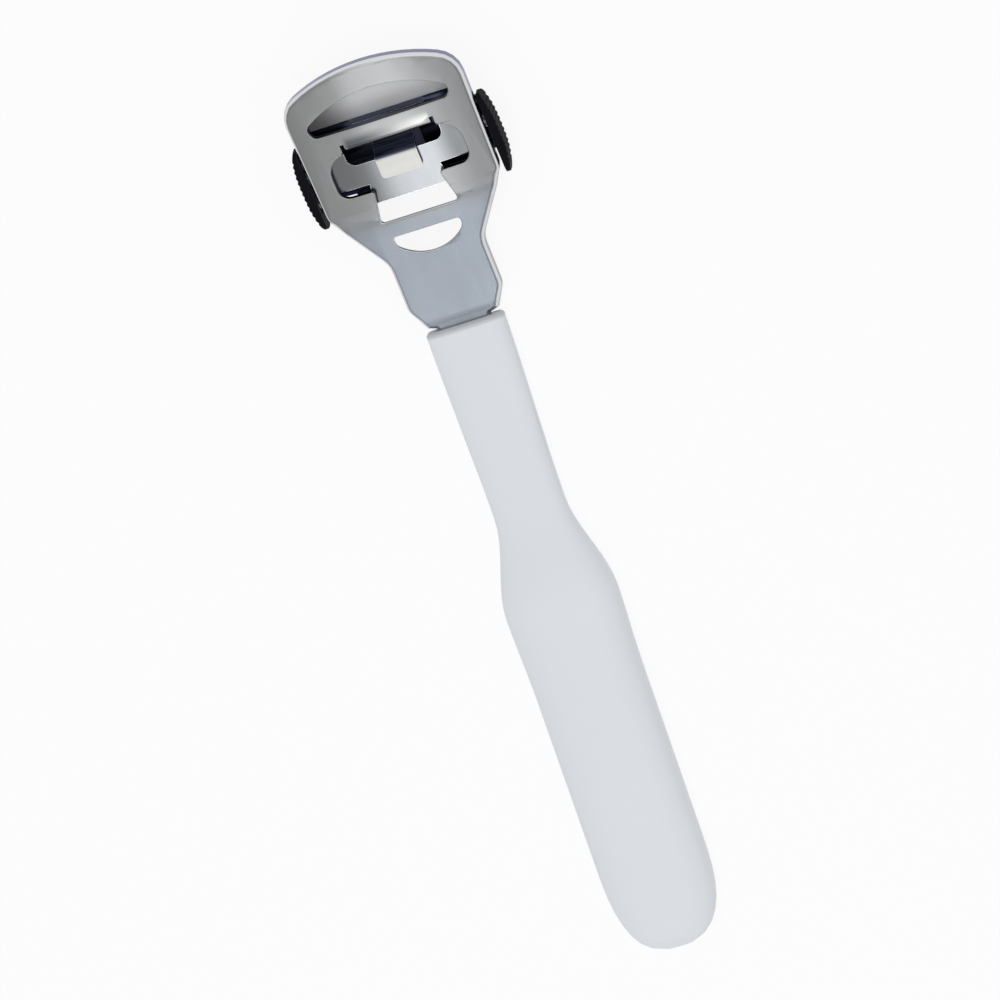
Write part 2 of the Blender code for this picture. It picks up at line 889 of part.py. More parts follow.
def make_blade(material):
    end = blade_length / 2
    section = [
        (0.0, 0.0, 0.0),
        (0.0, blade_edge_flat, 0.0),
        (blade_edge_bevel, blade_thickness, 0.0),
        (blade_width, blade_thickness, 0.0),
        (blade_width, 0.0, 0.0),
    ]
    item = side_slab("blade", [rounded(section)], -end - overrun, end + overrun)
    parts.objects.link(item)
    half = [
        (end, -overrun, 0.0),
        (end, blade_width - blade_corner_cut_along, 0.0),
        (end - blade_corner_cut_across, blade_width, 0.0),
        (end - blade_corner_cut_across, blade_width + overrun, 0.0),
    ]
    outline = rounded(half + [(-x, y, radius) for x, y, radius in reversed(half)])
    top = blade_thickness + overrun
    combine(item, slab("blade_outline", [outline], -overrun, top), "INTERSECT")
    for side, name in ((-1, "left_blade_hole"), (1, "right_blade_hole")):
        inner = side * pin_place_across - blade_hole_radius - blade_hole_slot / 2
        outer = side * pin_place_across + blade_hole_radius + blade_hole_slot / 2
        low = pin_place_up - blade_hole_radius
        high = pin_place_up + blade_hole_radius
        corners = [(inner, low), (outer, low), (outer, high), (inner, high)]
        near_full = blade_hole_radius * (1 - blade_hole_flat_share)
        hole = rounded([(x, y, near_full) for x, y in corners])
        cut(item, slab(name, [hole], -overrun, top))
    settle(item)
    place = Matrix.Translation((0.0, blade_edge_place, fit_gap))
    item.data.transform(bed_frame() @ place)
    return finish(item, material)


def make_blade_pins(material):
    top = fit_gap + blade_thickness + pin_reach
    head_top = -clamp_sheet * math.cos(bed_angle) - fit_gap
    profile = [
        (0.0, top),
        (pin_radius - rivet_edge, top),
        (pin_radius, top - rivet_edge),
        (pin_radius, head_top),
        (pin_head_radius, head_top),
        (pin_head_radius, head_top - pin_head_thickness + rivet_edge),
        (pin_head_radius - rivet_edge, head_top - pin_head_thickness),
        (0.0, head_top - pin_head_thickness),
    ]
    pins = []
    for name, matrix in pin_frames().items():
        item = turned(name, profile, matrix)
        parts.objects.link(item)
        pins.append(finish(item, material))
    return pins


# Pivot rivets and grips

def make_pivot_rivets(material):
    cap_inner = ear_inner_face + clamp_sheet + fit_gap
    cap_outer = cap_inner + rivet_cap_thickness
    head_outer = lug_outer_face - lug_thickness - fit_gap
    head_inner = head_outer - rivet_head_thickness
    profile = [
        (0.0, cap_outer),
        (rivet_head_radius - rivet_edge, cap_outer),
        (rivet_head_radius, cap_outer - rivet_edge),
        (rivet_head_radius, cap_inner),
        (rivet_shank_radius, cap_inner),
        (rivet_shank_radius, head_outer),
        (rivet_head_radius, head_outer),
        (rivet_head_radius, head_inner + rivet_edge),
        (rivet_head_radius - rivet_edge, head_inner),
        (0.0, head_inner),
    ]
    rivets = []
    for side, name in ((-1, "left_pivot_rivet"), (1, "right_pivot_rivet")):
        item = turned(name, profile, mirrored_frame(side))
        parts.objects.link(item)
        rivets.append(finish(item, material))
    return rivets


def grip_outer_face(place):
    """Distance of the ribbed outer face from the centre line."""
    middle = (grip_start + grip_end) / 2
    half = (grip_end - grip_start) / 2
    thin = ear_inner_face + grip_end_thickness
    swell = 1 - abs((place - middle) / half) ** grip_bulge_power
    face = thin + (grip_half_span - thin) * swell
    ribbed = half - abs(place - middle) > grip_rib_margin
    if ribbed:
        turn = 2 * math.pi * (place - middle) / grip_rib_pitch
        face -= grip_rib_depth * (0.5 - 0.5 * math.cos(turn))
    return face


def make_grip(side, name, material):
    steps = round((grip_end - grip_start) / grip_rib_pitch * grip_rib_steps)
    places = spread(grip_start, grip_end, steps)
    outer = [(side * grip_outer_face(place), along(place)) for place in places]
    inner = [(side * ear_inner_face, along(grip_end)), (side * ear_inner_face, along(grip_start))]
    item = slab(name, [outer + inner], grip_bottom, grip_top)
    parts.objects.link(item)
    envelope = side_view([
        (grip_start, grip_bottom, grip_corner_radius),
        (grip_start, grip_top, grip_corner_radius),
        (grip_end, grip_top, grip_corner_radius),
        (grip_end, grip_bottom, grip_corner_radius),
    ])
    low, high = sorted((side * (ear_inner_face - overrun), side * (grip_half_span + overrun)))
    combine(item, side_slab(name + "_envelope", [envelope], low, high), "INTERSECT")
    ear_outer_face = ear_inner_face + clamp_sheet
    pocket = side_view([
        (sole_shoulder - fit_gap, grip_bottom - overrun, 0.0),
        (sole_shoulder - fit_gap, ear_top + fit_gap, 0.0),
        (sole_end + fit_gap, ear_top + fit_gap, 0.0),
        (sole_end + fit_gap, grip_bottom - overrun, 0.0),
    ])
    low, high = sorted((side * (ear_inner_face - overrun), side * (ear_outer_face + fit_gap)))
    cut(item, side_slab(name + "_pocket", [pocket], low, high))
    recess_inner = ear_inner_face - overrun
    recess_outer = ear_inner_face + grip_recess
    profile = [
        (0.0, recess_outer),
        (rivet_head_radius + fit_gap, recess_outer),
        (rivet_head_radius + fit_gap, recess_inner),
        (0.0, recess_inner),
    ]
    cut(item, turned(name + "_recess", profile, mirrored_frame(side)))
    return finish(item, material)


# Handle

def handle_end_share(place):
    """How far into the rounded end a place is, from 0 to 1."""
    end_start = laid_out_length - handle_end_run
    return min(max((place - end_start) / handle_end_run, 0.0), 1.0)


def handle_half_width_at(place):
    waist = ease(place, handle_start, handle_waist_place)
    width = handle_start_half_width + (handle_waist_half_width - handle_start_half_width) * waist
    rise = ease(place, handle_shoulder_start, handle_shoulder_end)
    width += (handle_shoulder_half_width - handle_waist_half_width) * rise
    settled = ease(place, handle_shoulder_end, handle_settle_end)
    width -= (handle_shoulder_half_width - handle_half_width) * settled
    share = handle_end_share(place) ** handle_end_power
    return width * max(1 - share, handle_tip_share) ** (1 / handle_end_power)


def handle_thickness_at(place):
    rise = ease(place, handle_shoulder_start, handle_shoulder_end)
    return handle_neck_thickness + (handle_thickness - handle_neck_thickness) * rise


def handle_ring(place, edge):
    """One section of the handle, flat below and crowned above."""
    width = handle_half_width_at(place) - edge
    full = handle_thickness_at(place)
    share = handle_end_share(place) ** handle_end_power
    kept = max(1 - share, handle_tip_share) ** (1 / handle_end_power)
    bottom = edge + full * (1 - kept) / 2
    top = bottom + full * kept - 2 * edge
    foot = min(handle_foot_radius, (top - bottom) / 3, width / 3)
    points = []
    for turn in spread(-math.pi / 2, 0.0, handle_foot_steps):
        points.append((width - foot + foot * math.cos(turn), bottom + foot + foot * math.sin(turn)))
    power = 2 / handle_crown_power
    for turn in spread(0.0, math.pi / 2, handle_crown_steps // 2)[1:-1]:
        x = width * math.cos(turn) ** power
        points.append((x, bottom + foot + (top - bottom - foot) * math.sin(turn) ** power))
    left = [(-x, z) for x, z in reversed(points)]
    ring = points + [(0.0, top)] + left
    return [Vector((x, along(place), z)) for x, z in ring]


def loft(name, rings):
    """Closed solid through rings of equal count, with flat ends."""
    shape = bmesh.new()
    loops = [[shape.verts.new(point) for point in ring] for ring in rings]
    count = len(loops[0])
    for first, second in zip(loops, loops[1:]):
        for index in range(count):
            after = (index + 1) % count
            shape.faces.new((first[index], first[after], second[after], second[index]))
    shape.faces.new(loops[0])
    shape.faces.new(loops[-1])
    bmesh.ops.recalc_face_normals(shape, faces=shape.faces)
    mesh = bpy.data.meshes.new(name)
    shape.to_mesh(mesh)
    shape.free()
    return bpy.data.objects.new(name, mesh)


def make_handle(material):
    end_start = laid_out_length - handle_end_run
    full_start = handle_start + handle_mouth_edge
    places = spread(full_start, handle_shoulder_start, handle_neck_steps)
    places += spread(handle_shoulder_start, handle_shoulder_end, handle_shoulder_steps)[1:]
    places += spread(handle_shoulder_end, handle_settle_end, 3)[1:]
    for turn in spread(0.0, math.pi / 2, handle_end_steps):
        places.append(end_start + handle_end_run * math.sin(turn))
    rings = [handle_ring(handle_start, handle_mouth_edge)]
    rings += [handle_ring(place, 0.0) for place in places]
    item = loft("handle", rings)
    parts.objects.link(item)
    tang_end = neck_end + tang_length
    socket = symmetric_plan([
        (tang_half_width + fit_gap, handle_start - overrun, 0.0),
        (tang_half_width + fit_gap, tang_end + fit_gap, tang_corner_radius),
    ])
    floor = neck_foot_height - sheet - fit_gap + dome(tang_half_width)
    cut(item, slab("tang_socket", [socket], floor, neck_foot_height + fit_gap))
    return finish(item, material)


# The whole tool

def pitched(point):
    """Where a point of the level tool goes as the head is turned up round the crease."""
    x, y, z = point
    run = y - along(crease_place)
    rise = z - head_height
    turn = head_pitch * ease(run, -crease_length / 2, crease_length / 2)
    turned_run = run * math.cos(turn) - rise * math.sin(turn)
    turned_rise = run * math.sin(turn) + rise * math.cos(turn)
    return Vector((x, along(crease_place) + turned_run, head_height + turned_rise))


def pitch_head(items):
    for item in items:
        for vertex in item.data.vertices:
            vertex.co = pitched(vertex.co)
        item.data.update()


def middle_along(items):
    places = [vertex.co.y for item in items for vertex in item.data.vertices]
    return Vector((0.0, (max(places) + min(places)) / 2, 0.0))


def main():
    global parts, cutters
    clear_scene()
    parts = new_collection("callus_remover")
    cutters = new_collection("callus_remover_cutters")

    steel = new_material("satin_steel", (0.58, 0.59, 0.60), 0.28, 1.0)
    spring_steel = new_material("spring_steel", (0.62, 0.62, 0.63), 0.32, 1.0)
    blade_steel = new_material("blade_steel", (0.72, 0.73, 0.75), 0.16, 1.0)
    rivet_steel = new_material("rivet_steel", (0.50, 0.50, 0.52), 0.35, 1.0)
    black_plastic = new_material("black_plastic", (0.012, 0.012, 0.014), 0.42, 0.0)
    white_plastic = new_material("white_plastic", (0.72, 0.74, 0.78), 0.30, 0.0)

    fixed = [make_frame_plate(steel), make_spring_plate(spring_steel), make_handle(white_plastic)]
    moving = [make_clamp_plate(steel), make_blade(blade_steel)]
    moving += make_blade_pins(rivet_steel)
    moving += make_pivot_rivets(rivet_steel)
    moving.append(make_grip(-1, "left_grip", black_plastic))
    moving.append(make_grip(1, "right_grip", black_plastic))
    pitch_head(fixed + moving)
    middle = middle_along(fixed + moving)

    clamp_pivot = bpy.data.objects.new("clamp_pivot", None)
    parts.objects.link(clamp_pivot)
    pivot_point = pitched((0.0, along(pivot_place), pivot_height))
    clamp_pivot.location = pivot_point - middle
    for item in fixed:
        item.data.transform(Matrix.Translation(-middle))
    for item in moving:
        item.data.transform(Matrix.Translation(-pivot_point))
        item.parent = clamp_pivot
    bpy.context.view_layer.update()


main()
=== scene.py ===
"""Looks of a callus remover: satin steel head, sprung blade clamp, black grips and moulded handle."""

import math

import bmesh
import bpy
from mathutils import Matrix, Vector


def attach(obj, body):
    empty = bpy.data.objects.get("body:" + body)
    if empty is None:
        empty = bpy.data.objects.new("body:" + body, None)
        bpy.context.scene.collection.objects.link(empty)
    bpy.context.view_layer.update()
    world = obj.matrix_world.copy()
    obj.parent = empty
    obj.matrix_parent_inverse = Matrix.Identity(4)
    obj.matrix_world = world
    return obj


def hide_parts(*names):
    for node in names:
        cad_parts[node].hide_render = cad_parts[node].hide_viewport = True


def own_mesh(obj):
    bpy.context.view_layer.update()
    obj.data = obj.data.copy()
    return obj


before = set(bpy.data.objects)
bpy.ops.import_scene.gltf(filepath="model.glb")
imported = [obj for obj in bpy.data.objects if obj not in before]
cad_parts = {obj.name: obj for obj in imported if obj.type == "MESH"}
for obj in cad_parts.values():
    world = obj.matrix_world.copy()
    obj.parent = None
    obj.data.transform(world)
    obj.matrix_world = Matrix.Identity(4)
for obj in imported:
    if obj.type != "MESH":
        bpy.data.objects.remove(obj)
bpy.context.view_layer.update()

# Mesh cleaning and edge rounding
weld_distance = 0.000002
flat_angle = math.radians(0.35)
bevel_angle = math.radians(32)
bevel_segments = 2
sheet_rounding = 0.00010
leaf_rounding = 0.00006
clamp_rounding = 0.00008
blade_rounding = 0.00002
pin_rounding = 0.00008
rivet_rounding = 0.00010
grip_rounding = 0.00012
handle_rounding = 0.00030

# The head is pitched up towards its tip, round the crease
head_pitch = math.radians(15)
crease = Vector((0.0, 0.063457, 0.008))
head_up = Vector((0.0, -math.sin(head_pitch), math.cos(head_pitch)))
neck_and_head_up = (0.0, -0.23, 0.973)

# How far two directions agree where an edge starts to show, and where it shows fully
edge_samples = 4
edge_agreement = (0.97, 0.75)

# Camera, as found from the photograph's outline
image_pixels = 1000
sensor_width = 36.0
camera_lean_across = 0.2255
camera_lean_along = 0.17305
camera_roll = -0.33754
camera_focal_pixels = 5072.13
camera_aim = Vector((-0.00472, 0.0023, 0.004))
camera_distance = 1.1
camera_near = 0.01
camera_far = 100.0

# Floor: under the head its glow is left out and its paint darkened, a painted shadow, so that the
# openings look dark
floor_half_size = 4.0
floor_squares = 8
floor_drop = 0.00005
floor_glow = 0.88
under_head_middle = (-0.001, 0.078, 0.0)
under_head_share = (1 / 0.0167, 1 / 0.0133, 0.0)
under_head_shadow_fade = (0.95, 0.50)
under_head_glow = (0.70, 1.00)

# Lamps: place, size, brightness where 1 looks plain white, colour
overhead_lamp = ((0.10, 0.15, 1.30), (0.90, 0.90), 1.5, (1.0, 0.995, 0.985))
handle_side_lamp = ((-0.25, -0.88, 1.10), (0.30, 0.75), 3.0, (0.97, 0.985, 1.0))


# Shader maths

class Wire:
    """A shader socket that can be used in sums and products."""

    def __init__(self, finish, socket):
        self.finish = finish
        self.socket = socket

    def sum(self, operation, first, second):
        return self.finish.node("ShaderNodeMath", {"operation": operation}, {0: first, 1: second})

    def __add__(self, other):
        return self.sum("ADD", self, other)

    def __radd__(self, other):
        return self.sum("ADD", other, self)

    def __sub__(self, other):
        return self.sum("SUBTRACT", self, other)

    def __rsub__(self, other):
        return self.sum("SUBTRACT", other, self)

    def __mul__(self, other):
        return self.sum("MULTIPLY", self, other)

    def __rmul__(self, other):
        return self.sum("MULTIPLY", other, self)

    def highest(self, other):
        return self.sum("MAXIMUM", self, other)


class Finish:
    """A node tree that is wired up by calls."""

    def __init__(self, tree):
        self.tree = tree
        self.tree.nodes.clear()

    def node(self, kind, settings=None, sockets=None, output=0):
        """Add a node: its settings are set first, then the values or links of its sockets."""
        made = self.tree.nodes.new(kind)
        for name, value in (settings or {}).items():
            setattr(made, name, value)
        for name, value in (sockets or {}).items():
            self.plug(made.inputs[name], value)
        return Wire(self, made.outputs[output]) if made.outputs else made

    def plug(self, socket, value):
        if isinstance(value, Wire):
            self.tree.links.new(value.socket, socket)
        else:
            socket.default_value = value

    def blend(self, share, first, second):
        """Mix two colours."""
        settings = {"data_type": "RGBA"}
        return self.node("ShaderNodeMix", settings, {0: share, 6: first, 7: second}, output=2)

    def stretch(self, value, low, high, to_low=0.0, to_high=1.0):
        """Map a range to another, smoothly and without going past its ends."""
        settings = {"interpolation_type": "SMOOTHSTEP"}
        sockets = {0: value, 1: low, 2: high, 3: to_low, 4: to_high}
        return self.node("ShaderNodeMapRange", settings, sockets)

    def vector(self, operation, first, second=(0.0, 0.0, 0.0), output=0):
        settings = {"operation": operation}
        return self.node("ShaderNodeVectorMath", settings, {0: first, 1: second}, output=output)

    def place(self):
        """Position on the piece, in metres."""
        return self.node("ShaderNodeTexCoord", output=3)

    def place_on(self, axis):
        """Position on the piece along one of its axes, in metres."""
        return self.node("ShaderNodeSeparateXYZ", None, {0: self.place()}, output="XYZ".index(axis))

    def facing(self, direction):
        """How far the surface faces a direction, 1 where it faces it fully."""
        surface = self.node("ShaderNodeTexCoord", output=1)
        return self.vector("DOT_PRODUCT", surface, direction, output=1)

    def head_height(self):
        """Height above the crease, square to the pitched head."""
        height = self.vector("DOT_PRODUCT", self.place(), tuple(head_up), output=1)
        return height - head_up.dot(crease)

    def noise(self, scale, detail, stretch=(1.0, 1.0, 1.0)):
        """Noise from 0 to 1 with its scale per metre, longer where a stretch is small."""
        mapped = self.node("ShaderNodeMapping", None, {0: self.place(), 3: stretch})
        sockets = {"Vector": mapped, "Scale": scale, "Detail": detail}
        return self.node("ShaderNodeTexNoise", None, sockets)

    def edges(self, radius):
        """1 on sharp edges, 0 on open surfaces."""
        rounded = self.node("ShaderNodeBevel", {"samples": edge_samples}, {"Radius": radius})
        true_normal = self.node("ShaderNodeNewGeometry", output=1)
        agreement = self.vector("DOT_PRODUCT", rounded, true_normal, output=1)
        return self.stretch(agreement, *edge_agreement)

    def relief(self, height, distance, strength):
        sockets = {"Height": height, "Distance": distance, "Strength": strength}
        return self.node("ShaderNodeBump", None, sockets)


def shade(red, green, blue):
    return (red, green, blue, 1.0)


def grey(level):
    return shade(level, level, level)


def new_finish(name, metallic, specular=0.5, index=1.5):
    """A material with a Principled shader: its constants are set on the shader's own sockets."""
    material = bpy.data.materials.new(name)
    material.use_nodes = True
    finish = Finish(material.node_tree)
    shader = finish.node("ShaderNodeBsdfPrincipled")
    inputs = shader.socket.node.inputs
    inputs["Metallic"].default_value = metallic
    inputs["Specular IOR Level"].default_value = specular
    inputs["IOR"].default_value = index
    finish.node("ShaderNodeOutputMaterial", None, {"Surface": shader})
    return material, finish, inputs


# Finishes: each starts with its tones (darker, paler), and with its fades, which say where
# on the piece they start and where they are full, in metres or as a share of facing

def pressed_steel():
    """Satin plated sheet: fine lengthwise grain and cloudy tone, with painted light and shade: a pale
    middle and darker sides, a bluish neck, rim highlights broken up by scuffs, a lip shaded on its
    left and lit on its right, a dark bluish skirt and dark cut walls.
    """
    lit_middle_tones = shade(0.240, 0.242, 0.240), shade(0.290, 0.295, 0.300)
    shaded_left_tones = shade(0.162, 0.163, 0.160), shade(0.195, 0.198, 0.200)
    shaded_right_tones = shade(0.142, 0.143, 0.141), shade(0.170, 0.173, 0.176)
    neck_reflection_tones = shade(0.240, 0.262, 0.295), shade(0.192, 0.210, 0.236)
    lip_shade_and_highlight_tones = shade(0.055, 0.060, 0.066), shade(0.50, 0.50, 0.48)
    skirt_shade_tones = shade(0.215, 0.205, 0.325), shade(0.30, 0.31, 0.34)
    rim_highlight_tone = shade(0.66, 0.67, 0.69)
    cut_wall_shade_tone = shade(0.035, 0.038, 0.050)
    shade_to_left, shade_to_right = (-0.002, -0.008), (0.003, 0.015)
    to_neck, across_neck = (0.066, 0.058), (-0.009, 0.002)
    lip_front, lip_rear = (0.0813, 0.0793), (0.0782, 0.0786)
    lip_left, lip_right, across_lip = (-0.0092, -0.0080), (0.0092, 0.0086), (-0.006, 0.009)
    lip_cover = 0.9
    rim_facing, skirt_facing, wall_facing = (0.955, 0.80), (0.42, 0.12), (0.5, 0.8)
    behind_slot = (0.0885, 0.0875)
    scuff_range, scuff_share = (0.15, 0.45), (0.72, 1.0)

    material, finish, inputs = new_finish("satin_plated_sheet", 1.0)
    clouds = finish.noise(scale=55.0, detail=2.0)
    grain = finish.noise(scale=900.0, detail=3.0, stretch=(1.0, 0.06, 1.0))
    scuffs = finish.noise(scale=260.0, detail=4.0, stretch=(1.0, 0.5, 1.0))
    across, along = finish.place_on("X"), finish.place_on("Y")
    tilt = finish.facing(neck_and_head_up)

    # Painted light: a paler middle as a painted highlight band, and left and right sides darkened as
    # painted shade of the dome
    lit_middle = finish.blend(clouds, *lit_middle_tones)
    left = finish.blend(clouds, *shaded_left_tones)
    right = finish.blend(clouds, *shaded_right_tones)
    tone = finish.blend(finish.stretch(across, *shade_to_left), lit_middle, left)
    tone = finish.blend(finish.stretch(across, *shade_to_right), tone, right)

    # Painted reflection: the neck takes a bluish tone, paler on its left and darker on its right, for
    # the sky it reflects at its own slope
    on_neck = finish.stretch(along, *to_neck)
    neck_reflection = finish.blend(finish.stretch(across, *across_neck), *neck_reflection_tones)
    tone = finish.blend(on_neck, tone, neck_reflection)

    # Painted highlight on the rounded rims, broken up by scuffs; the same mask makes the rims
    # smoother too
    burnish_and_highlight = finish.stretch(tilt, *rim_facing) * finish.stretch(scuffs, *scuff_range, *scuff_share)
    tone = finish.blend(burnish_and_highlight, tone, rim_highlight_tone)

    # Painted light on the bridge's lip: painted shade on its left, a painted highlight on its right
    lip = finish.stretch(along, *lip_front) * finish.stretch(along, *lip_rear)
    lip = lip * finish.stretch(across, *lip_left) * finish.stretch(across, *lip_right)
    lip_painted_light = finish.blend(finish.stretch(across, *across_lip), *lip_shade_and_highlight_tones)
    tone = finish.blend(lip_cover * lip, tone, lip_painted_light)

    # Painted shade: the skirt's steep outer faces take a dark bluish tone, greyer on the neck
    skirt_shade = finish.blend(on_neck, *skirt_shade_tones)
    tone = finish.blend(finish.stretch(tilt, *skirt_facing), tone, skirt_shade)
    # Painted shade: the cut walls facing the tip, behind the slot, are nearly black
    shaded_cut_wall = finish.stretch(finish.facing((0.0, 1.0, 0.0)), *wall_facing)
    shaded_cut_wall = shaded_cut_wall * finish.stretch(along, *behind_slot)
    tone = finish.blend(shaded_cut_wall, tone, cut_wall_shade_tone)

    finish.plug(inputs["Base Color"], tone)
    finish.plug(inputs["Roughness"], 0.26 + 0.07 * clouds + 0.05 * grain - 0.10 * burnish_and_highlight)
    finish.plug(inputs["Normal"], finish.relief(grain, distance=0.000004, strength=0.6))
    return material


def spring_steel():
    """Bright rolled strip with a straight grain, its middle paler and its sides darker as painted
    light and shade.
    """
    lit_middle_tones = shade(0.215, 0.222, 0.228), shade(0.260, 0.268, 0.278)
    shaded_side_tones = shade(0.098, 0.102, 0.103), shade(0.122, 0.126, 0.130)
    worn_tone = shade(0.80, 0.82, 0.84)
    shade_to_left, shade_to_right = (-0.001, -0.008), (0.006, 0.012)

    material, finish, inputs = new_finish("bright_spring_strip", 1.0)
    clouds = finish.noise(scale=70.0, detail=2.0)
    grain = finish.noise(scale=1100.0, detail=3.0, stretch=(1.0, 0.04, 1.0))
    across = finish.place_on("X")
    lit_middle = finish.blend(clouds, *lit_middle_tones)
    side = finish.blend(clouds, *shaded_side_tones)
    # Painted shade: the strip darkens towards its left and right sides
    side_shade = finish.stretch(across, *shade_to_left).highest(finish.stretch(across, *shade_to_right))
    tone = finish.blend(side_shade, lit_middle, side)
    tone = finish.blend(finish.edges(radius=0.00015), tone, worn_tone)
    finish.plug(inputs["Base Color"], tone)
    finish.plug(inputs["Roughness"], 0.18 + 0.06 * clouds + 0.05 * grain)
    finish.plug(inputs["Normal"], finish.relief(grain, distance=0.000003, strength=0.5))
    return material


def clamp_steel():
    """Clamp sheet: dark and streaked inside as painted shade, with painted light on the tab and the
    bed, and rubbed bright on the sole.
    """
    inside_shade_tones = shade(0.012, 0.013, 0.020), shade(0.050, 0.058, 0.095)
    rubbed_and_lit_tones = shade(0.370, 0.366, 0.352), shade(0.425, 0.420, 0.405)
    worn_tone = shade(0.86, 0.86, 0.85)
    worn_cover = 0.5
    tab_height, tab_front = (-0.00150, -0.00105), (0.0748, 0.0743)
    sole_facing, bed_rear = (-0.6, -0.9), (0.0850, 0.0856)
    streak_range = (0.42, 0.62)

    material, finish, inputs = new_finish("clamp_sheet_painted_shade", 1.0)
    clouds = finish.noise(scale=80.0, detail=2.0)
    grain = finish.noise(scale=800.0, detail=3.0, stretch=(0.08, 1.0, 1.0))
    streaks = finish.noise(scale=1500.0, detail=2.0, stretch=(0.05, 1.0, 1.0))
    along = finish.place_on("Y")
    # Painted light on the raised tab and on the bed behind the blade; the sole, rubbed on the skin,
    # takes the same pale tone
    tab = finish.stretch(finish.head_height(), *tab_height) * finish.stretch(along, *tab_front)
    sole = finish.stretch(finish.facing(tuple(head_up)), *sole_facing)
    bed = finish.stretch(along, *bed_rear)
    # Painted shade: the rest of the sheet is dark and streaked, for the shade inside the head
    inside_shade = finish.blend(finish.stretch(streaks, *streak_range), *inside_shade_tones)
    rubbed_and_lit = finish.blend(clouds, *rubbed_and_lit_tones)
    tone = finish.blend(tab.highest(sole).highest(bed), inside_shade, rubbed_and_lit)
    tone = finish.blend(worn_cover * finish.edges(radius=0.0002), tone, worn_tone)
    finish.plug(inputs["Base Color"], tone)
    finish.plug(inputs["Roughness"], 0.30 + 0.08 * clouds + 0.05 * grain)
    finish.plug(inputs["Normal"], finish.relief(grain, distance=0.000004, strength=0.5))
    return material


def blade_steel():
    """Ground razor steel, matt from the wheel and near white as a painted highlight, with a polished
    bevel and painted shade on its left end.
    """
    ground_and_highlight_tones = shade(0.88, 0.88, 0.89), shade(0.95, 0.95, 0.96)
    worn_tone = shade(0.92, 0.93, 0.95)
    left_end_shade_tone = grey(0.28)
    shade_to_left_end = (-0.003, -0.013)

    material, finish, inputs = new_finish("ground_blade_steel", 0.10)
    clouds = finish.noise(scale=60.0, detail=2.0)
    grind = finish.noise(scale=2600.0, detail=2.0, stretch=(0.03, 1.0, 1.0))
    # Painted highlight: the near-white base with little metal stands for the light the blade reflects
    tone = finish.blend(clouds, *ground_and_highlight_tones)
    # Painted shade: the left end darkens
    tone = finish.blend(finish.stretch(finish.place_on("X"), *shade_to_left_end), tone, left_end_shade_tone)
    tone = finish.blend(finish.edges(radius=0.0001), tone, worn_tone)
    finish.plug(inputs["Base Color"], tone)
    finish.plug(inputs["Roughness"], 0.38 + 0.08 * clouds + 0.06 * grind)
    finish.plug(inputs["Normal"], finish.relief(grind, distance=0.000002, strength=0.5))
    return material


def rivet_steel():
    """Turned pin steel with pressed marks on the heads."""
    turned_tones = grey(0.42), shade(0.58, 0.58, 0.57)
    worn_tone = shade(0.85, 0.85, 0.84)

    material, finish, inputs = new_finish("turned_rivet_steel", 1.0)
    marks = finish.noise(scale=1500.0, detail=3.0)
    tone = finish.blend(marks, *turned_tones)
    tone = finish.blend(finish.edges(radius=0.00015), tone, worn_tone)
    finish.plug(inputs["Base Color"], tone)
    finish.plug(inputs["Roughness"], 0.24 + 0.14 * marks)
    finish.plug(inputs["Normal"], finish.relief(marks, distance=0.000006, strength=0.5))
    return material


def grip_plastic():
    """Black moulded grip: soft sheen on the ribs, grey rubbed crests."""
    black_tones = shade(0.0025, 0.0025, 0.004), shade(0.006, 0.006, 0.009)
    rubbed_tone = shade(0.075, 0.075, 0.090)
    dust_range = (0.35, 0.7)

    material, finish, inputs = new_finish("black_ribbed_grip", 0.0, specular=0.2, index=1.2)
    pores = finish.noise(scale=5200.0, detail=3.0)
    dust = finish.noise(scale=240.0, detail=4.0)
    rubbed = finish.edges(radius=0.00022) * finish.stretch(dust, *dust_range)
    tone = finish.blend(dust, *black_tones)
    tone = finish.blend(rubbed, tone, rubbed_tone)
    finish.plug(inputs["Base Color"], tone)
    finish.plug(inputs["Roughness"], 0.44 + 0.14 * dust + 0.08 * pores)
    finish.plug(inputs["Normal"], finish.relief(pores, distance=0.000012, strength=0.6))
    return material


def handle_plastic():
    """Cool white moulded handle: fine mould texture, faint flow clouds, a painted shadow on its front
    end.
    """
    white_tones = shade(0.755, 0.785, 0.825), shade(0.800, 0.825, 0.855)
    streak_tone = shade(0.770, 0.790, 0.815)
    front_shadow_tone = shade(0.50, 0.51, 0.54)
    streak_cover, front_cover = 0.35, 0.85
    to_front = (0.0366, 0.0374)

    material, finish, inputs = new_finish("cool_white_moulding", 0.0, specular=0.4)
    pores = finish.noise(scale=3400.0, detail=3.0)
    clouds = finish.noise(scale=28.0, detail=3.0)
    streaks = finish.noise(scale=120.0, detail=3.0, stretch=(1.0, 0.18, 1.0))
    tone = finish.blend(clouds, *white_tones)
    tone = finish.blend(streak_cover * streaks, tone, streak_tone)
    # Painted shadow: the handle's front end darkens where the neck's end overhangs it
    front_shadow = finish.stretch(finish.place_on("Y"), *to_front)
    tone = finish.blend(front_cover * front_shadow, tone, front_shadow_tone)
    finish.plug(inputs["Base Color"], tone)
    finish.plug(inputs["Roughness"], 0.42 + 0.10 * streaks + 0.06 * pores)
    finish.plug(inputs["Normal"], finish.relief(pores, distance=0.000010, strength=0.5))
    return material


# Pieces

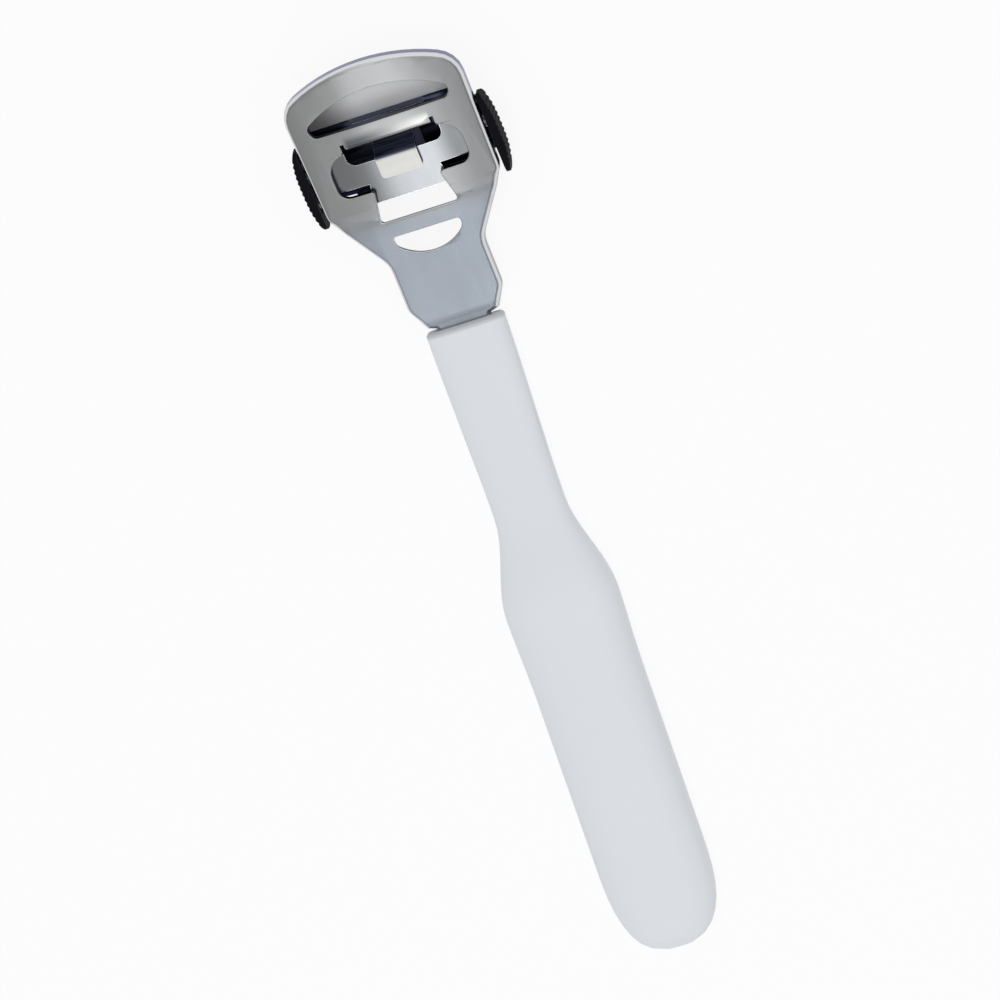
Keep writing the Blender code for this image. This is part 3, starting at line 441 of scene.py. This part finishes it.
def clean_copy(node, name):
    """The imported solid's mesh as a new object, with its flat faces whole again."""
    mesh = bpy.data.meshes.new(name)
    shape = bmesh.new()
    shape.from_mesh(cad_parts[node].data)
    bmesh.ops.remove_doubles(shape, verts=shape.verts, dist=weld_distance)
    bmesh.ops.dissolve_limit(
        shape, angle_limit=flat_angle, verts=shape.verts, edges=shape.edges,
        use_dissolve_boundaries=False,
    )
    shape.to_mesh(mesh)
    shape.free()
    piece = bpy.data.objects.new(name, mesh)
    bpy.context.scene.collection.objects.link(piece)
    return piece


def soften(piece, width):
    """Round the piece's edges and shade it smooth between them."""
    piece.data.shade_smooth()
    bevel = piece.modifiers.new("edge_rounding", "BEVEL")
    bevel.width = width
    bevel.segments = bevel_segments
    bevel.limit_method = "ANGLE"
    bevel.angle_limit = bevel_angle
    bevel.use_clamp_overlap = True
    bevel.miter_outer = "MITER_ARC"
    normals = piece.modifiers.new("even_shading", "WEIGHTED_NORMAL")
    normals.keep_sharp = True


def dress(node, name, body, material, width):
    """Stand a rounded copy with its finish in a node's place."""
    piece = clean_copy(node, name)
    soften(piece, width)
    piece.data.materials.append(material)
    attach(piece, body)
    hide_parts(node)
    return piece


def make_pieces():
    pressed = pressed_steel()
    grip = grip_plastic()
    rivet = rivet_steel()
    dress("frame_plate", "pressed_head_and_neck", "frame", pressed, sheet_rounding)
    leaf = dress("spring_plate", "leaf_spring", "frame", spring_steel(), leaf_rounding)
    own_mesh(leaf)
    dress("handle", "moulded_handle", "frame", handle_plastic(), handle_rounding)
    dress("clamp_plate", "folded_clamp", "clamp", clamp_steel(), clamp_rounding)
    dress("blade", "ground_blade", "clamp", blade_steel(), blade_rounding)
    for side in ("left", "right"):
        pin = side + "_blade_pin"
        dress(pin, side + "_pin_head", "clamp", rivet, pin_rounding)
        shank = side + "_pivot_rivet"
        dress(shank, side + "_rivet_head", "clamp", rivet, rivet_rounding)
        dress(side + "_grip", side + "_ribbed_grip", "clamp", grip, grip_rounding)


# Studio

def seen_directly(finish):
    """1 for rays from the camera, a reflection or a clear piece."""
    camera = finish.node("ShaderNodeLightPath", output=0)
    glossy = finish.node("ShaderNodeLightPath", output=3)
    clear = finish.node("ShaderNodeLightPath", output=6)
    return camera.highest(glossy).highest(clear)


def floor_paint():
    """Pale paint that shows nearly white and still takes the tool's shadow, with a painted shadow
    under the head.
    """
    pale_tones = grey(0.93), grey(0.95)
    under_head_shadow_tone = shade(0.14, 0.145, 0.215)

    material = bpy.data.materials.new("pale_floor_paint")
    material.use_nodes = True
    finish = Finish(material.node_tree)
    from_middle = finish.vector("SUBTRACT", finish.place(), under_head_middle)
    reach = finish.vector("MULTIPLY", from_middle, under_head_share)
    reach = finish.vector("LENGTH", reach, output=1)
    tone = finish.blend(finish.noise(scale=3.0, detail=2.0), *pale_tones)
    # Painted shadow: the paint darkens under the head
    tone = finish.blend(finish.stretch(reach, *under_head_shadow_fade), tone, under_head_shadow_tone)
    paint = finish.node("ShaderNodeBsdfDiffuse", None, {"Color": tone})
    glow = finish.node("ShaderNodeEmission", None, {"Color": grey(1.0)})
    share = seen_directly(finish) * floor_glow * finish.stretch(reach, *under_head_glow)
    mixed = finish.node("ShaderNodeMixShader", None, {0: share, 1: paint, 2: glow})
    finish.node("ShaderNodeOutputMaterial", None, {"Surface": mixed})
    return material


def make_floor():
    """A pale floor that keeps the tool's shadow, with a painted shadow under the head."""
    mesh = bpy.data.meshes.new("studio_floor")
    shape = bmesh.new()
    bmesh.ops.create_grid(
        shape, x_segments=floor_squares, y_segments=floor_squares, size=floor_half_size,
    )
    shape.to_mesh(mesh)
    shape.free()
    mesh.materials.append(floor_paint())
    floor = bpy.data.objects.new("studio_floor", mesh)
    floor.location.z = -floor_drop
    bpy.context.scene.collection.objects.link(floor)


def make_world():
    """White where it is seen, and plain soft light on the tool."""
    light_tone = shade(0.60, 0.605, 0.615)
    world = bpy.data.worlds.new("white_studio")
    bpy.context.scene.world = world
    world.use_nodes = True
    finish = Finish(world.node_tree)
    tone = finish.blend(seen_directly(finish), light_tone, grey(1.0))
    background = finish.node("ShaderNodeBackground", None, {"Color": tone})
    finish.node("ShaderNodeOutputWorld", None, {"Surface": background})


def make_lamp(name, place, size, brightness, colour):
    """A soft box that faces the tool; its brightness is 1 where it looks plain white."""
    data = bpy.data.lights.new(name, "AREA")
    data.shape = "RECTANGLE"
    data.size, data.size_y = size
    data.energy = brightness * math.pi * data.size * data.size_y
    data.color = colour
    lamp = bpy.data.objects.new(name, data)
    lamp.location = place
    lamp.rotation_mode = "QUATERNION"
    lamp.rotation_quaternion = (-Vector(place)).to_track_quat("-Z", "Y")
    bpy.context.scene.collection.objects.link(lamp)


def make_camera():
    """The photograph's camera: back points from the tool to it."""
    up_share = math.sqrt(1 - camera_lean_across ** 2 - camera_lean_along ** 2)
    back = Vector((camera_lean_across, camera_lean_along, up_share))
    level_up = (Vector((0.0, 1.0, 0.0)) - back * back.y).normalized()
    level_right = level_up.cross(back)
    right = level_right * math.cos(camera_roll) + level_up * math.sin(camera_roll)
    up = level_up * math.cos(camera_roll) - level_right * math.sin(camera_roll)
    data = bpy.data.cameras.new("photo_camera")
    data.sensor_width = sensor_width
    data.lens = sensor_width * camera_focal_pixels * camera_distance / image_pixels
    data.clip_start = camera_near
    data.clip_end = camera_far
    camera = bpy.data.objects.new("photo_camera", data)
    turn = Matrix((right, up, back)).transposed().to_4x4()
    camera.matrix_world = Matrix.Translation(camera_aim + back * camera_distance) @ turn
    bpy.context.scene.collection.objects.link(camera)
    bpy.context.scene.camera = camera


make_camera()
make_pieces()
make_floor()
make_world()
make_lamp("overhead_soft_box", *overhead_lamp)
make_lamp("handle_side_soft_box", *handle_side_lamp)
bpy.context.scene.view_settings.view_transform = "Standard"
